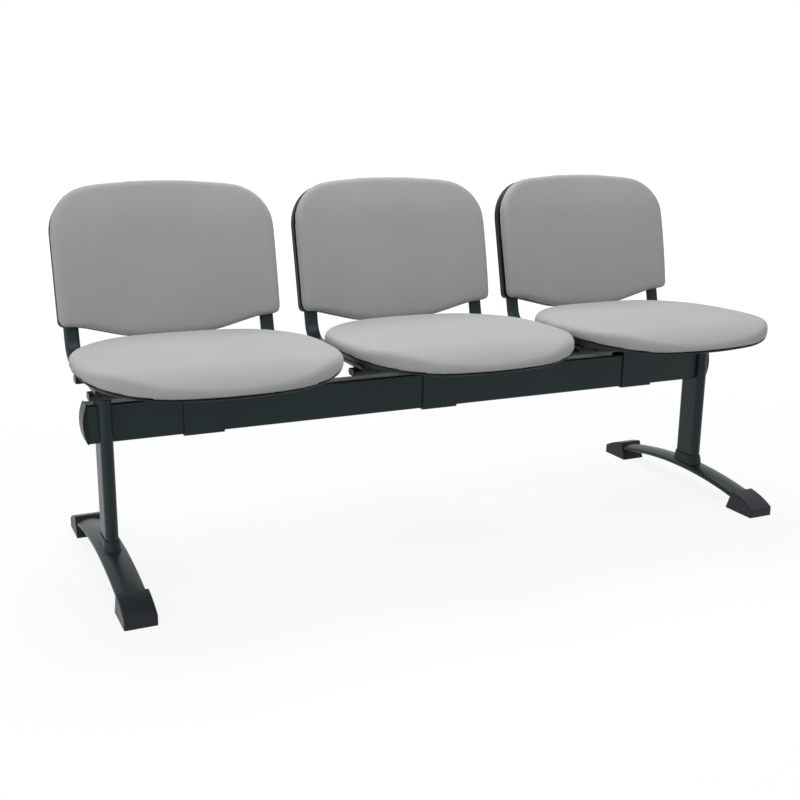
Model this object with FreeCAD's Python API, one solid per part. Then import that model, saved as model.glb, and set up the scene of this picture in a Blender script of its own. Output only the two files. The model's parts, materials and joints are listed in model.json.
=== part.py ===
import FreeCAD, Part
import math
import os

# Three-seat beam seating in millimetres.
# +X runs along the row, the seats face -Y and +Z is up, with the floor at Z = 0.
# Pieces are placed from the beam's middle plane; the last step moves the whole row
# so that its origin is on the floor, at the middle of its outer box.

Vector = FreeCAD.Vector
ALONG = Vector(1, 0, 0)
BACKWARD = Vector(0, 1, 0)
UP = Vector(0, 0, 1)

# Row
seat_count = 3
seat_pitch = 512.0
leg_spacing = 1400.0
soft_gap = 0.3
fit_gap = 0.3
weld_gap = 0.1

# Beam: rectangular steel tube lying along the row, hung below the arms of the seat frames
beam_height = 75.0
beam_depth = 40.0
beam_wall = 2.5
beam_corner = 4.0
beam_arm_clearance = 38.0
beam_overhang_left = 31.0
beam_overhang_right = 14.0
beam_cap_lip = 2.0
beam_cap_dome = 8.0
beam_cap_plug = 9.0
beam_cap_margin = 1.0

# Legs: flat-oval column on an arched foot bar
column_depth = 70.0
column_width = 25.0
column_wall = 2.0
column_rise_above_beam = 10.0
column_cap_head = 2.0
column_cap_plug = 7.0
foot_bar_width = 55.0
foot_bar_height = 19.0
foot_bar_wall = 2.0
foot_bar_shoulder_inset = 3.5
foot_bar_shoulder_height = 10.0
foot_arch_radius = 1005.0
foot_arch_top_height = 50.5
foot_arch_top_setback = 11.0
foot_front_reach = 261.5
foot_rear_reach = 294.0
foot_bar_end_cover = 30.0
collar_top_height = 78.0
collar_wall = 2.0
collar_flare_side = 3.5
collar_flare_end = 5.0
leg_screw_spacing = 36.0

# Foot pads: plastic shoes pushed over the ends of the foot bar
pad_width = 60.0
pad_length = 82.0
pad_top_length = 66.0
pad_toe_height = 20.0
pad_middle_height = 33.5
pad_heel_height = 43.0
pad_brow_share = 0.35
pad_edge_round = 3.0

# Seat frame: flat-oval tubes
frame_tube_width = 30.0
frame_tube_thickness = 15.0
frame_tube_wall = 1.5
cross_tube_setout = 70.0
cross_tube_half_length = 222.0
arm_underside_height = 383.0
arm_front_reach = 112.0
upright_offset = 205.0
upright_bend_radius = 45.0
upright_top = 170.0
plug_head = 3.0
plug_depth = 14.0
plug_gap = 0.2

# Bracket: bent steel saddle that wraps the beam and carries the cross tubes
bracket_length = 80.0
bracket_plate = 3.0
bracket_corner = 4.0
bracket_flange_margin = 3.0
bracket_beam_gap = 0.2
bracket_bolt_share = 0.55

# Seat
seat_half_width = 247.0
seat_half_depth = 220.0
seat_forward = 54.6
seat_front_radius = 650.0
seat_side_radius = 612.0
seat_corner_radius = 165.0
seat_shell_wall = 3.0
seat_shell_floor_inset = 24.0
seat_shell_dish_inset = 10.0
seat_shell_rim_thickness = 5.0
seat_shell_round = 4.0
seat_board_thickness = 10.0
seat_shell_rim_inset = 2.0
seat_rim_rise = 20.0
seat_rim_level_reach = 40.0
seat_rim_front_radius = 909.0
seat_peak_rise = 48.0
seat_front_roll_reach = 85.0
seat_front_hem = 10.0
seat_top_rear_radius = 8400.0
seat_crown_radius = 5000.0
seat_cushion_roll = 17.0
seat_cushion_tuck = 2.5
seat_roll_wall_share = 0.92
seat_reach = 30.0
seat_screw_front_reach = 92.0
seat_screw_rear_reach = 16.0

# Backrest, measured in its own leaning plane from its lower corners
back_lean = 13.4
back_corner_setback = 199.5
back_corner_height = 452.5
back_half_width = 230.0
back_height = 291.0
back_bottom_corner_radius = 13.0
back_hollow_radius = 200.0
back_lobe_shoulder_radius = 200.0
back_lobe_bottom_radius = 1300.0
back_lobe_bottom_angle = 3.0
back_lobe_side_angle = 14.0
back_top_corner_radius = 95.0
back_top_radius = 1100.0
back_curve_radius = 1500.0
back_board_thickness = 9.0
back_board_inset = 12.0
back_cushion_middle = 36.0
back_cushion_edge = 27.0
back_cushion_front_radius = 2600.0
back_cushion_round = 9.0
back_cushion_rear_round = 2.5
back_shell_depth = 21.5
back_shell_wall = 2.5
back_shell_inset = 1.0
back_shell_round = 8.0
back_post_radius = 6.0
back_pin_radius = 3.5
back_pin_length = 6.0
back_post_offset = 120.0
back_post_heights = (40.0, 200.0)
back_screw_heights = (40.0, 140.0)
back_reach = 60.0

# Screws
screw_gap = 0.3
screw_thread_gap = 0.05
small_screw_radius = 3.0
small_screw_head_radius = 5.0
small_screw_head = 2.0
large_screw_radius = 4.0
large_screw_head_radius = 7.0
large_screw_head = 4.0
screw_socket_share = 0.5
screw_tip_cover = 2.5
screw_end_length = 8.0

# Heights and places that follow from the sizes above
beam_top_height = arm_underside_height - beam_arm_clearance
beam_underside_height = beam_top_height - beam_height
column_top_height = beam_top_height + column_rise_above_beam
arm_middle_height = arm_underside_height + frame_tube_thickness / 2
seat_floor_height = arm_underside_height + frame_tube_thickness
seat_board_inset = seat_shell_floor_inset + seat_shell_wall
cross_tube_middle_height = arm_underside_height - frame_tube_thickness / 2
bracket_flange_height = arm_underside_height - frame_tube_thickness
back_curve_centre = math.sqrt(back_curve_radius**2 - upright_offset**2)
tube_flat_half = (frame_tube_width - frame_tube_thickness) / 2
board_rear_at_tube = back_curve_centre - math.sqrt(
    back_curve_radius**2 - (upright_offset - tube_flat_half) ** 2
)
upright_middle = -board_rear_at_tube + fit_gap + frame_tube_thickness / 2


def line(start, end):
    return Part.LineSegment(start, end).toShape()


def arc(start, middle, end):
    return Part.Arc(start, middle, end).toShape()


def face_of(edges):
    return Part.Face(Part.Wire(edges))


def fuse_all(shapes):
    joined = shapes[0]
    for shape in shapes[1:]:
        joined = joined.fuse(shape)
    return joined.removeSplitter()


def cut_all(shape, tools):
    for tool in tools:
        shape = shape.cut(tool)
    return shape


def box_between(low, high):
    size = high - low
    return Part.makeBox(size.x, size.y, size.z, low)


def cylinder_between(start, end, radius):
    way = end - start
    return Part.makeCylinder(radius, way.Length, start, way)


def edges_along(shape, way, length):
    """Straight edges that run along a direction for a known length."""
    found = []
    for edge in shape.Edges:
        ends = [vertex.Point for vertex in edge.Vertexes]
        if len(ends) != 2:
            continue
        run = ends[1] - ends[0]
        if abs(abs(run.dot(way)) - length) < 0.01 and abs(edge.Length - length) < 0.01:
            found.append(edge)
    return found


def oval_face(centre, long_way, short_way, width, thickness):
    """Flat oval: two straight sides joined by half rounds, each drawn as two arcs."""
    nose = thickness / 2
    straight = width / 2 - nose
    slant = nose * math.sqrt(0.5)

    def at(along, across):
        return centre + long_way * along + short_way * across

    return face_of(
        [
            line(at(-straight, nose), at(straight, nose)),
            arc(at(straight, nose), at(straight + slant, slant), at(straight + nose, 0)),
            arc(at(straight + nose, 0), at(straight + slant, -slant), at(straight, -nose)),
            line(at(straight, -nose), at(-straight, -nose)),
            arc(at(-straight, -nose), at(-straight - slant, -slant), at(-straight - nose, 0)),
            arc(at(-straight - nose, 0), at(-straight - slant, slant), at(-straight, nose)),
        ]
    )


def oval_bar(start, end, long_way, short_way, width, thickness):
    return oval_face(start, long_way, short_way, width, thickness).extrude(end - start)


def screw(seat_point, way, length, radius, head_radius, head_height):
    """Low round-head screw with a hexagon socket; its head stands behind the seat point."""
    shank = cylinder_between(seat_point, seat_point + way * length, radius)
    head = cylinder_between(seat_point - way * head_height, seat_point, head_radius)
    socket_depth = head_height * screw_socket_share
    side_way = Vector(way.y, way.z, way.x)
    other_way = way.cross(side_way)
    top = seat_point - way * head_height
    corners = []
    for step in range(7):
        angle = math.radians(60 * step)
        reach = head_radius * screw_socket_share
        corners.append(top + (side_way * math.cos(angle) + other_way * math.sin(angle)) * reach)
    socket = Part.Face(Part.makePolygon(corners)).extrude(way * socket_depth)
    return fuse_all([shank, head]).cut(socket)


# Outlines

def tangent_corner(first_centre, first_radius, second_centre, second_radius, corner_radius):
    """Centre of a corner arc that runs smoothly into two larger arcs."""
    first_reach = first_radius - corner_radius
    second_reach = second_radius - corner_radius
    way = second_centre - first_centre
    apart = way.Length
    way = way / apart
    along = (first_reach**2 - second_reach**2 + apart**2) / (2 * apart)
    across = math.sqrt(first_reach**2 - along**2)
    normal = Vector(way.y, -way.x, 0)
    return first_centre + way * along + normal * across


def turned_arc(centre, radius, first, last, right_way, up_way):
    """Arc about a centre between two angles, measured in the plane of two directions."""
    points = []
    for angle in (first, (first + last) / 2, last):
        points.append(centre + (right_way * math.cos(angle) + up_way * math.sin(angle)) * radius)
    return arc(*points)


def seat_outline(inset, height):
    """Bowed seat outline of eight tangent arcs, drawn in by an inset, at a height."""
    side_centre = Vector(seat_half_width - seat_side_radius, 0, 0)
    rear_centre = Vector(0, seat_half_depth - seat_front_radius, 0)
    corner_centre = tangent_corner(
        rear_centre, seat_front_radius, side_centre, seat_side_radius, seat_corner_radius
    )
    side_angle = math.atan2(corner_centre.y, corner_centre.x - side_centre.x)
    rear_angle = math.atan2(corner_centre.y - rear_centre.y, corner_centre.x)
    side_radius = seat_side_radius - inset
    rear_radius = seat_front_radius - inset
    corner_radius = seat_corner_radius - inset
    right = turned_arc(side_centre, side_radius, -side_angle, side_angle, ALONG, BACKWARD)
    rear = turned_arc(rear_centre, rear_radius, rear_angle, math.pi - rear_angle, ALONG, BACKWARD)
    corner = turned_arc(corner_centre, corner_radius, side_angle, rear_angle, ALONG, BACKWARD)
    origin = Vector(0, 0, 0)
    edges = [right, rear, corner]
    edges.append(right.mirror(origin, ALONG))
    edges.append(rear.mirror(origin, BACKWARD))
    edges.append(corner.mirror(origin, ALONG))
    edges.append(corner.mirror(origin, BACKWARD))
    edges.append(corner.mirror(origin, ALONG).mirror(origin, BACKWARD))
    outline = Part.Wire(Part.__sortEdges__(edges))
    outline.translate(Vector(0, -seat_forward, height))
    return outline


def back_outline_face(inset):
    """Backrest outline: straight sides, rounded top and a lobe that hangs at the bottom."""
    low = math.radians(back_lobe_bottom_angle)
    steep = math.radians(back_lobe_side_angle)
    down = -math.pi / 2
    corner_x = back_half_width - back_bottom_corner_radius
    hollow_start_x = corner_x - back_hollow_radius * math.sin(steep)
    hollow_start_z = -back_hollow_radius * (1 - math.cos(steep))
    shoulder_end_x = back_lobe_bottom_radius * math.sin(low)
    shoulder_end_x += back_lobe_shoulder_radius * (math.sin(steep) - math.sin(low))
    shoulder_end_z = hollow_start_z - (hollow_start_x - shoulder_end_x) * math.tan(steep)
    shoulder = Vector(shoulder_end_x, 0, shoulder_end_z)
    shoulder += Vector(-math.sin(steep), 0, math.cos(steep)) * back_lobe_shoulder_radius
    bottom = Vector(0, 0, shoulder.z)
    bottom.z += (back_lobe_bottom_radius - back_lobe_shoulder_radius) * math.cos(low)
    hollow = Vector(corner_x, 0, -back_hollow_radius)
    corner = Vector(corner_x, 0, back_bottom_corner_radius)
    top = Vector(0, 0, back_height - back_top_radius)
    round_x = back_half_width - back_top_corner_radius
    round_angle = math.acos(round_x / (back_top_radius - back_top_corner_radius))
    rise = (back_top_radius - back_top_corner_radius) * math.sin(round_angle)
    top_corner = Vector(round_x, 0, top.z + rise)
    side_x = back_half_width - inset

    def bend(centre, radius, first, last):
        return turned_arc(centre, radius, first, last, ALONG, UP)

    lobe = bend(bottom, back_lobe_bottom_radius - inset, down - low, down + low)
    crown = bend(top, back_top_radius - inset, round_angle, math.pi - round_angle)
    turn = bend(shoulder, back_lobe_shoulder_radius - inset, down + low, down + steep)
    scoop = bend(hollow, back_hollow_radius + inset, math.pi / 2, math.pi / 2 + steep)
    right = [
        turn,
        line(turn.Vertexes[-1].Point, scoop.Vertexes[-1].Point),
        scoop,
        bend(corner, back_bottom_corner_radius - inset, down, 0),
        line(Vector(side_x, 0, corner.z), Vector(side_x, 0, top_corner.z)),
        bend(top_corner, back_top_corner_radius - inset, 0, round_angle),
    ]
    left = [edge.mirror(Vector(0, 0, 0), ALONG) for edge in right]
    return Part.Face(Part.Wire(Part.__sortEdges__([lobe, crown] + right + left)))


# Seat pieces, placed as if for a seat at the middle of the row

def seat_plate(inset, low, high):
    return Part.Face(seat_outline(inset, low)).extrude(UP * (high - low))


def seat_bowl(levels):
    """Solid through outlines at several heights, straight between one and the next."""
    return Part.makeLoft([seat_outline(inset, height) for inset, height in levels], True, True)


def seat_side_body(top_edges, front_end, rear_end):
    """Face in the seat's side view, from its top line down to well below the floor."""
    low = seat_floor_height - seat_reach
    front_foot = Vector(0, front_end.y, low)
    rear_foot = Vector(0, rear_end.y, low)
    feet = [line(rear_end, rear_foot), line(rear_foot, front_foot), line(front_foot, front_end)]
    return face_of(top_edges + feet)


def dropping_arc(start, radius, front_y):
    """Arc that leaves a level start point and falls away towards the front."""
    angle = math.asin((start.y - front_y) / radius)
    points = []
    for share in (1, 0.5, 0):
        turn = angle * share
        fall = radius * (1 - math.cos(turn))
        points.append(start + Vector(0, -radius * math.sin(turn), -fall))
    return arc(*points)


def circle_fall(radius, reach):
    """How far a circle falls below its level tangent at a distance from where they touch."""
    return radius - math.sqrt(radius**2 - reach**2)


def seat_rim_height(y):
    """Height of the shell's rim, which is level and then falls towards the front."""
    reach = max(0, -seat_forward - seat_rim_level_reach - y)
    return seat_floor_height + seat_rim_rise - circle_fall(seat_rim_front_radius, reach)


def seat_peak():
    """Highest point of the seat, where the front roll starts."""
    front = -seat_forward - seat_half_depth
    return Vector(0, front + seat_front_roll_reach, seat_floor_height + seat_peak_rise)


def seat_front_roll_radius():
    """Radius that brings the top down to the hem just at the seat's front edge."""
    hem_top = seat_rim_height(-seat_forward - seat_half_depth) + seat_front_hem
    drop = seat_peak().z - hem_top
    return (seat_front_roll_reach**2 + drop**2) / (2 * drop)


def seat_top_height(x, y):
    """Height of the cushion's crowned top, without the roll round its edge."""
    peak = seat_peak()
    radius = seat_top_rear_radius if y > peak.y else seat_front_roll_radius()
    arm = seat_crown_radius - circle_fall(radius, min(abs(y - peak.y), radius))
    return peak.z - seat_crown_radius + math.sqrt(arm**2 - x**2)


def seat_edge_roll():
    """Radius of the cushion's edge roll, limited by the wall between its hem and its top."""
    middle = Vector(0, -seat_forward, 0)
    limits = [seat_cushion_roll]
    for point in seat_outline(0, 0).discretize(40):
        inner = middle + (point - middle) * 0.99
        rise = seat_top_height(inner.x, inner.y) - seat_top_height(point.x, point.y)
        slope = math.atan2(rise, (point - inner).Length)
        wall = seat_top_height(point.x, point.y) - seat_rim_height(point.y) - seat_cushion_tuck
        limits.append(seat_roll_wall_share * wall / math.tan(math.pi / 4 - slope / 2))
    return min(limits)


def seat_rim_body(shift):
    """Everything under the seat's rim."""
    rim = seat_floor_height + seat_rim_rise + shift
    start = Vector(0, -seat_forward - seat_rim_level_reach, rim)
    fall = dropping_arc(start, seat_rim_front_radius, -seat_forward - seat_half_depth - 1)
    rear_end = Vector(0, -seat_forward + seat_half_depth + 1, rim)
    front_end = fall.Vertexes[0].Point
    face = seat_side_body([fall, line(start, rear_end)], front_end, rear_end)
    face.translate(ALONG * (-seat_half_width - 1))
    return face.extrude(ALONG * (2 * seat_half_width + 2))


def seat_crown():
    """Everything under the seat's top, which is crowned across and rolls down at the front."""
    peak = seat_peak()
    fall = dropping_arc(peak, seat_front_roll_radius(), peak.y - seat_front_roll_reach - 1)
    front_end = fall.Vertexes[0].Point
    rear_y = -seat_forward + seat_half_depth + 1
    flat = dropping_arc(peak, seat_top_rear_radius, 2 * peak.y - rear_y)
    flat = flat.mirror(peak, BACKWARD)
    rear_end = flat.Vertexes[0].Point
    face = seat_side_body([fall, flat], front_end, rear_end)
    axis_point = peak - UP * seat_crown_radius
    half_turn = math.degrees(math.asin(1.1 * seat_half_width / seat_crown_radius))
    face.rotate(axis_point, BACKWARD, -half_turn)
    return face.revolve(axis_point, BACKWARD, 2 * half_turn)


def outer_edges(shape, lowest, way):
    """Edges round the outside of the faces that look up or down, above a height."""
    counted = {}
    for face in shape.Faces:
        middle = face.CenterOfMass
        u, v = face.Surface.parameter(middle)
        if middle.z > lowest and face.normalAt(u, v).dot(way) > 0.7:
            for edge in face.Edges:
                counted.setdefault(edge.hashCode(), []).append(edge)
    return [edges[0] for edges in counted.values() if len(edges) == 1]


def seat_cushion():
    """Crowned pad with a soft roll round its top, drawn in below, hollow for its board."""
    low = seat_floor_height
    pad = seat_plate(0, low, low + seat_peak_rise + 1).common(seat_crown())
    pad = pad.cut(seat_rim_body(soft_gap))
    pad = pad.makeFillet(seat_edge_roll(), outer_edges(pad, low, UP))
    pad = pad.makeFillet(seat_cushion_tuck, outer_edges(pad, low - seat_reach, UP * -1))
    board_top = low + seat_shell_wall + seat_board_thickness + soft_gap
    filling = seat_plate(seat_board_inset + soft_gap, board_top, low + seat_rim_rise + 1)
    pocket = seat_plate(seat_board_inset - soft_gap, low - 1, board_top)
    return fuse_all([pad, filling]).cut(pocket)


def seat_board():
    low = seat_floor_height + seat_shell_wall
    board = seat_plate(seat_board_inset, low, low + seat_board_thickness)
    return cut_all(board, seat_screw_shafts(small_screw_radius + screw_thread_gap))


def seat_shell():
    """Plastic pan: a dish that rests on the arms, with a rim that follows the cushion."""
    floor = seat_floor_height
    dish = seat_bowl(
        [
            (seat_shell_floor_inset, floor),
            (seat_shell_dish_inset, floor + seat_rim_rise - seat_shell_rim_thickness / 2),
        ]
    )
    rim = seat_plate(seat_shell_rim_inset, floor - seat_reach, floor + seat_rim_rise + 1)
    rim = rim.common(seat_rim_body(0)).cut(seat_rim_body(-seat_shell_rim_thickness))
    rim = rim.makeFillet(seat_shell_round, outer_edges(rim, floor - seat_reach, UP * -1))
    pan = fuse_all([rim, dish.common(seat_rim_body(0))])
    pocket = seat_plate(
        seat_board_inset - fit_gap, floor + seat_shell_wall, floor + seat_rim_rise + 1
    )
    return cut_all(pan.cut(pocket), seat_screw_shafts(small_screw_radius + screw_gap))


def seat_screw_points():
    points = []
    for side in (-1, 1):
        for reach in (-seat_screw_front_reach, seat_screw_rear_reach):
            points.append(Vector(side * upright_offset, reach, arm_underside_height))
    return points


def seat_screw_length():
    return frame_tube_thickness + seat_shell_wall + seat_board_thickness - screw_tip_cover


def seat_screw_shafts(radius):
    reach = UP * (seat_screw_length() + screw_gap)
    return [cylinder_between(point - UP, point + reach, radius) for point in seat_screw_points()]


def seat_screws():
    return small_screws(seat_screw_points(), UP, seat_screw_length())


# Backrest pieces, drawn upright with the tube plane at Y = 0, then leaned and set in place

def curved_slab(rear, front, low, high):
    """Part of an upright tube wall: the backrest's curve between two depths."""
    near = back_curve_radius - front - back_curve_centre
    far = back_curve_radius - rear - back_curve_centre
    corners = [Vector(0, near, low), Vector(0, far, low), Vector(0, far, high)]
    corners += [Vector(0, near, high), Vector(0, near, low)]
    return swung(Part.Face(Part.makePolygon(corners)), back_curve_centre)


def swung(face, axis_distance):
    """Turn an upright face about a vertical axis in front of the backrest."""
    axis_point = Vector(0, -axis_distance, 0)
    half_turn = math.degrees(math.asin(1.15 * back_half_width / back_curve_radius))
    start = face.copy()
    start.rotate(axis_point, UP, -half_turn)
    return start.revolve(axis_point, UP, 2 * half_turn)


def back_prism(inset):
    face = back_outline_face(inset)
    face.translate(BACKWARD * -back_reach)
    return face.extrude(BACKWARD * (2 * back_reach))


def back_cushion():
    """Pad crowned up and down and across, with rounded front edges and a board pocket."""
    rear_plane = back_curve_radius - back_curve_centre
    front_middle = rear_plane - back_cushion_middle
    front_end = rear_plane - back_cushion_edge
    low = -2 * back_bottom_corner_radius - back_cushion_round
    high = back_height + back_cushion_round
    profile = face_of(
        [
            arc(
                Vector(0, front_end, low),
                Vector(0, front_middle, (low + high) / 2),
                Vector(0, front_end, high),
            ),
            line(Vector(0, front_end, high), Vector(0, back_reach, high)),
            line(Vector(0, back_reach, high), Vector(0, back_reach, low)),
            line(Vector(0, back_reach, low), Vector(0, front_end, low)),
        ]
    )
    crowned = swung(profile, back_cushion_front_radius)
    behind = curved_slab(-back_reach, soft_gap, low - 1, high + 1)
    pad = back_prism(0).common(crowned).cut(behind)
    front = max(pad.Faces, key=lambda face: face.Area * (1 if face.CenterOfMass.y < 0 else 0))
    pad = pad.makeFillet(back_cushion_round, front.Edges)
    rear = max(pad.Faces, key=lambda face: face.Area * (1 if face.CenterOfMass.y > 0 else 0))
    pad = pad.makeFillet(back_cushion_rear_round, rear.Edges)
    pocket = back_prism(back_board_inset - soft_gap).common(
        curved_slab(-1, back_board_thickness + soft_gap, low - 1, high + 1)
    )
    return pad.cut(pocket)


def back_board():
    slab = curved_slab(0, back_board_thickness, -back_reach, back_height + back_reach)
    board = back_prism(back_board_inset).common(slab)
    pins = back_post_shafts(back_pin_radius + screw_gap, back_pin_length + screw_gap)
    shafts = back_screw_shafts(small_screw_radius + screw_thread_gap)
    return cut_all(board, pins + shafts)


def back_shell():
    """Plastic cover behind the board, with posts that press into the board."""
    top = back_height + back_reach
    outer = back_prism(back_shell_inset).common(curved_slab(-back_shell_depth, 0, -top, top))
    rear = max(outer.Faces, key=lambda face: face.Area * (1 if face.CenterOfMass.y > 0 else 0))
    outer = outer.makeFillet(back_shell_round, rear.Edges)
    floor_depth = back_shell_depth - back_shell_wall
    hollow = back_prism(back_shell_inset + back_shell_wall)
    hollow = hollow.common(curved_slab(-floor_depth, 1, -top, top))
    shell = outer.cut(hollow)
    posts = back_post_shafts(back_post_radius, 0)
    pins = back_post_shafts(back_pin_radius, back_pin_length)
    inside = curved_slab(-floor_depth - 1, 0, -top, top)
    posts = [post.common(inside) for post in posts]
    shell = fuse_all([shell] + posts + pins)
    return cut_all(shell, upright_notches())


def back_post_shafts(radius, reach):
    """Rods from inside the shell's rear wall to a depth in the board."""
    rods = []
    for side in (-1, 1):
        x = side * back_post_offset
        board_y = math.sqrt(back_curve_radius**2 - x**2) - back_curve_centre
        wall_y = board_y + back_shell_depth - back_shell_wall / 2
        for height in back_post_heights:
            start = Vector(x, wall_y, height)
            rods.append(cylinder_between(start, Vector(x, board_y - reach, height), radius))
    return rods


def upright_notches():
    notches = []
    for side in (-1, 1):
        start = Vector(side * upright_offset, upright_middle, -back_reach)
        end = Vector(side * upright_offset, upright_middle, back_bottom_corner_radius)
        width = frame_tube_width + 2 * fit_gap
        thickness = frame_tube_thickness + 2 * fit_gap
        notches.append(oval_bar(start, end, ALONG, BACKWARD, width, thickness))
    return notches


def back_screw_points():
    rear = upright_middle + frame_tube_thickness / 2
    points = []
    for side in (-1, 1):
        for height in back_screw_heights:
            points.append(Vector(side * upright_offset, rear, height))
    return points


def back_screw_length():
    return frame_tube_thickness + fit_gap + back_board_thickness - screw_tip_cover


def back_screw_shafts(radius):
    reach = BACKWARD * (back_screw_length() + screw_gap)
    return [
        cylinder_between(point + BACKWARD, point - reach, radius) for point in back_screw_points()
    ]


def back_screws():
    return small_screws(back_screw_points(), BACKWARD * -1, back_screw_length())


def leaned(shape):
    """Lean an upright backrest piece and set it behind the seat."""
    placed = shape.copy()
    placed.rotate(Vector(0, 0, 0), ALONG, -back_lean)
    placed.translate(Vector(0, back_corner_setback, back_corner_height))
    return placed


# Seat frame

def bent_upright(side, width, thickness, overrun):
    """Arm, bend and upright in one flat-oval section, lengthened at both ends by an overrun."""
    x = side * upright_offset
    lean = math.radians(back_lean)
    rising = Vector(0, math.sin(lean), math.cos(lean))
    behind = Vector(0, math.cos(lean), -math.sin(lean))
    base = Vector(x, back_corner_setback, back_corner_height) + behind * upright_middle
    corner = base + rising * ((arm_middle_height - base.z) / rising.z)
    turn = 90 - back_lean
    tangent = upright_bend_radius * math.tan(math.radians(turn / 2))
    bend_start = corner - BACKWARD * tangent
    bend_end = corner + rising * tangent
    upright_end = base + rising * (upright_top + overrun)
    arm_start = Vector(x, -arm_front_reach - overrun, arm_middle_height)
    section = oval_face(bend_start, ALONG, UP, width, thickness)
    arm = oval_bar(arm_start, bend_start, ALONG, UP, width, thickness)
    bend_centre = bend_start + UP * upright_bend_radius
    bend = section.revolve(bend_centre, ALONG, turn)
    upright = oval_bar(bend_end, upright_end, ALONG, behind, width, thickness)
    return fuse_all([arm, bend, upright])


def upright(side):
    width = frame_tube_width
    thickness = frame_tube_thickness
    wall = frame_tube_wall
    tube = bent_upright(side, width, thickness, 0)
    tube = tube.cut(bent_upright(side, width - 2 * wall, thickness - 2 * wall, 1))
    holes = seat_screw_shafts(small_screw_radius + screw_gap)
    holes += [leaned(shaft) for shaft in back_screw_shafts(small_screw_radius + screw_gap)]
    return cut_all(tube, holes)


def cross_tube(setout):
    start = Vector(-cross_tube_half_length, setout, cross_tube_middle_height)
    end = Vector(cross_tube_half_length, setout, cross_tube_middle_height)
    width = frame_tube_width
    thickness = frame_tube_thickness
    wall = frame_tube_wall
    tube = oval_bar(start, end, BACKWARD, UP, width, thickness)
    bore = oval_bar(start - ALONG, end + ALONG, BACKWARD, UP, width - 2 * wall, thickness - 2 * wall)
    return tube.cut(bore)


def tube_plug(mouth, outward, long_way):
    """Oval plug: a rounded head over the tube's end and a body that fits its bore."""
    width = frame_tube_width
    thickness = frame_tube_thickness
    bore_loss = 2 * frame_tube_wall + 2 * plug_gap
    head = oval_bar(mouth, mouth + outward * plug_head, long_way, UP, width, thickness)
    head = head.makeFillet(plug_head / 2, end_edges(head, mouth + outward * plug_head, outward))
    body = oval_bar(
        mouth, mouth - outward * plug_depth, long_way, UP, width - bore_loss, thickness - bore_loss
    )
    return fuse_all([head, body])


def end_edges(shape, point, way):
    """Edges that lie in the plane through a point, square to a direction."""
    found = []
    for edge in shape.Edges:
        heights = [(vertex.Point - point).dot(way) for vertex in edge.Vertexes]
        if max(abs(height) for height in heights) < 0.001:
            found.append(edge)
    return found


def tube_plugs():
    plugs = []
    for side in (-1, 1):
        for setout in (-cross_tube_setout, cross_tube_setout):
            mouth = Vector(side * cross_tube_half_length, setout, cross_tube_middle_height)
            plugs.append(tube_plug(mouth, ALONG * side, BACKWARD))
        arm_mouth = Vector(side * upright_offset, -arm_front_reach, arm_middle_height)
        plugs.append(tube_plug(arm_mouth, BACKWARD * -1, ALONG))
    return Part.makeCompound(plugs)


def beam_bracket():
    """Bent saddle: a channel round the beam with two flanges under the cross tubes."""
    inner = beam_depth / 2 + bracket_beam_gap
    outer = inner + bracket_plate
    reach = cross_tube_setout + frame_tube_width / 2 + bracket_flange_margin
    floor = beam_underside_height - bracket_beam_gap
    top = bracket_flange_height
    half = bracket_length / 2
    profile = [
        (-reach, top), (-inner, top), (-inner, floor), (inner, floor), (inner, top),
        (reach, top), (reach, top - bracket_plate), (outer, top - bracket_plate),
        (outer, floor - bracket_plate), (-outer, floor - bracket_plate),
        (-outer, top - bracket_plate), (-reach, top - bracket_plate), (-reach, top),
    ]
    section = Part.makePolygon([Vector(-half, y, z) for y, z in profile])
    saddle = Part.Face(section).extrude(ALONG * bracket_length)
    bottom_edges = []
    flange_edges = []
    for edge in edges_along(saddle, ALONG, bracket_length):
        place = edge.Vertexes[0].Point
        if abs(abs(place.y) - outer) < 0.01 and place.z < beam_underside_height:
            bottom_edges.append(edge)
        if abs(abs(place.y) - inner) < 0.01 and abs(place.z - top) < 0.01:
            flange_edges.append(edge)
    saddle = saddle.makeFillet(bracket_corner, bottom_edges + flange_edges)
    return cut_all(saddle, bracket_bolt_shafts(large_screw_radius + screw_gap))


def bracket_bolt_points():
    height = beam_underside_height - bracket_beam_gap - bracket_plate
    offset = bracket_length * bracket_bolt_share / 2
    return [Vector(-offset, 0, height), Vector(offset, 0, height)]


def bracket_bolt_length():
    return bracket_plate + bracket_beam_gap + beam_wall + screw_end_length


def bracket_bolt_shafts(radius):
    reach = UP * (bracket_bolt_length() + screw_gap)
    return [cylinder_between(point - UP, point + reach, radius) for point in bracket_bolt_points()]


# Beam

def beam_left_end():
    return -leg_spacing / 2 - beam_overhang_left


def beam_right_end():
    return leg_spacing / 2 + beam_overhang_right


def rounded_box(low, high, radius):
    box = box_between(low, high)
    return box.makeFillet(radius, edges_along(box, ALONG, high.x - low.x))


def beam_box(grow, overrun):
    """The beam's outside, grown on every side and lengthened at both ends."""
    low = Vector(beam_left_end() - overrun, -beam_depth / 2 - grow, beam_underside_height - grow)
    high = Vector(beam_right_end() + overrun, beam_depth / 2 + grow, beam_top_height + grow)
    return rounded_box(low, high, beam_corner + grow)


def beam():
    tube = beam_box(0, 0).cut(beam_box(-beam_wall, 1))
    holes = []
    for x in seat_places():
        for shaft in bracket_bolt_shafts(large_screw_radius + screw_thread_gap):
            holes.append(shaft.translated(ALONG * x))
    for side in (-1, 1):
        holes += leg_screw_shafts(side, large_screw_radius + screw_thread_gap)
    return cut_all(tube, holes)


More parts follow.
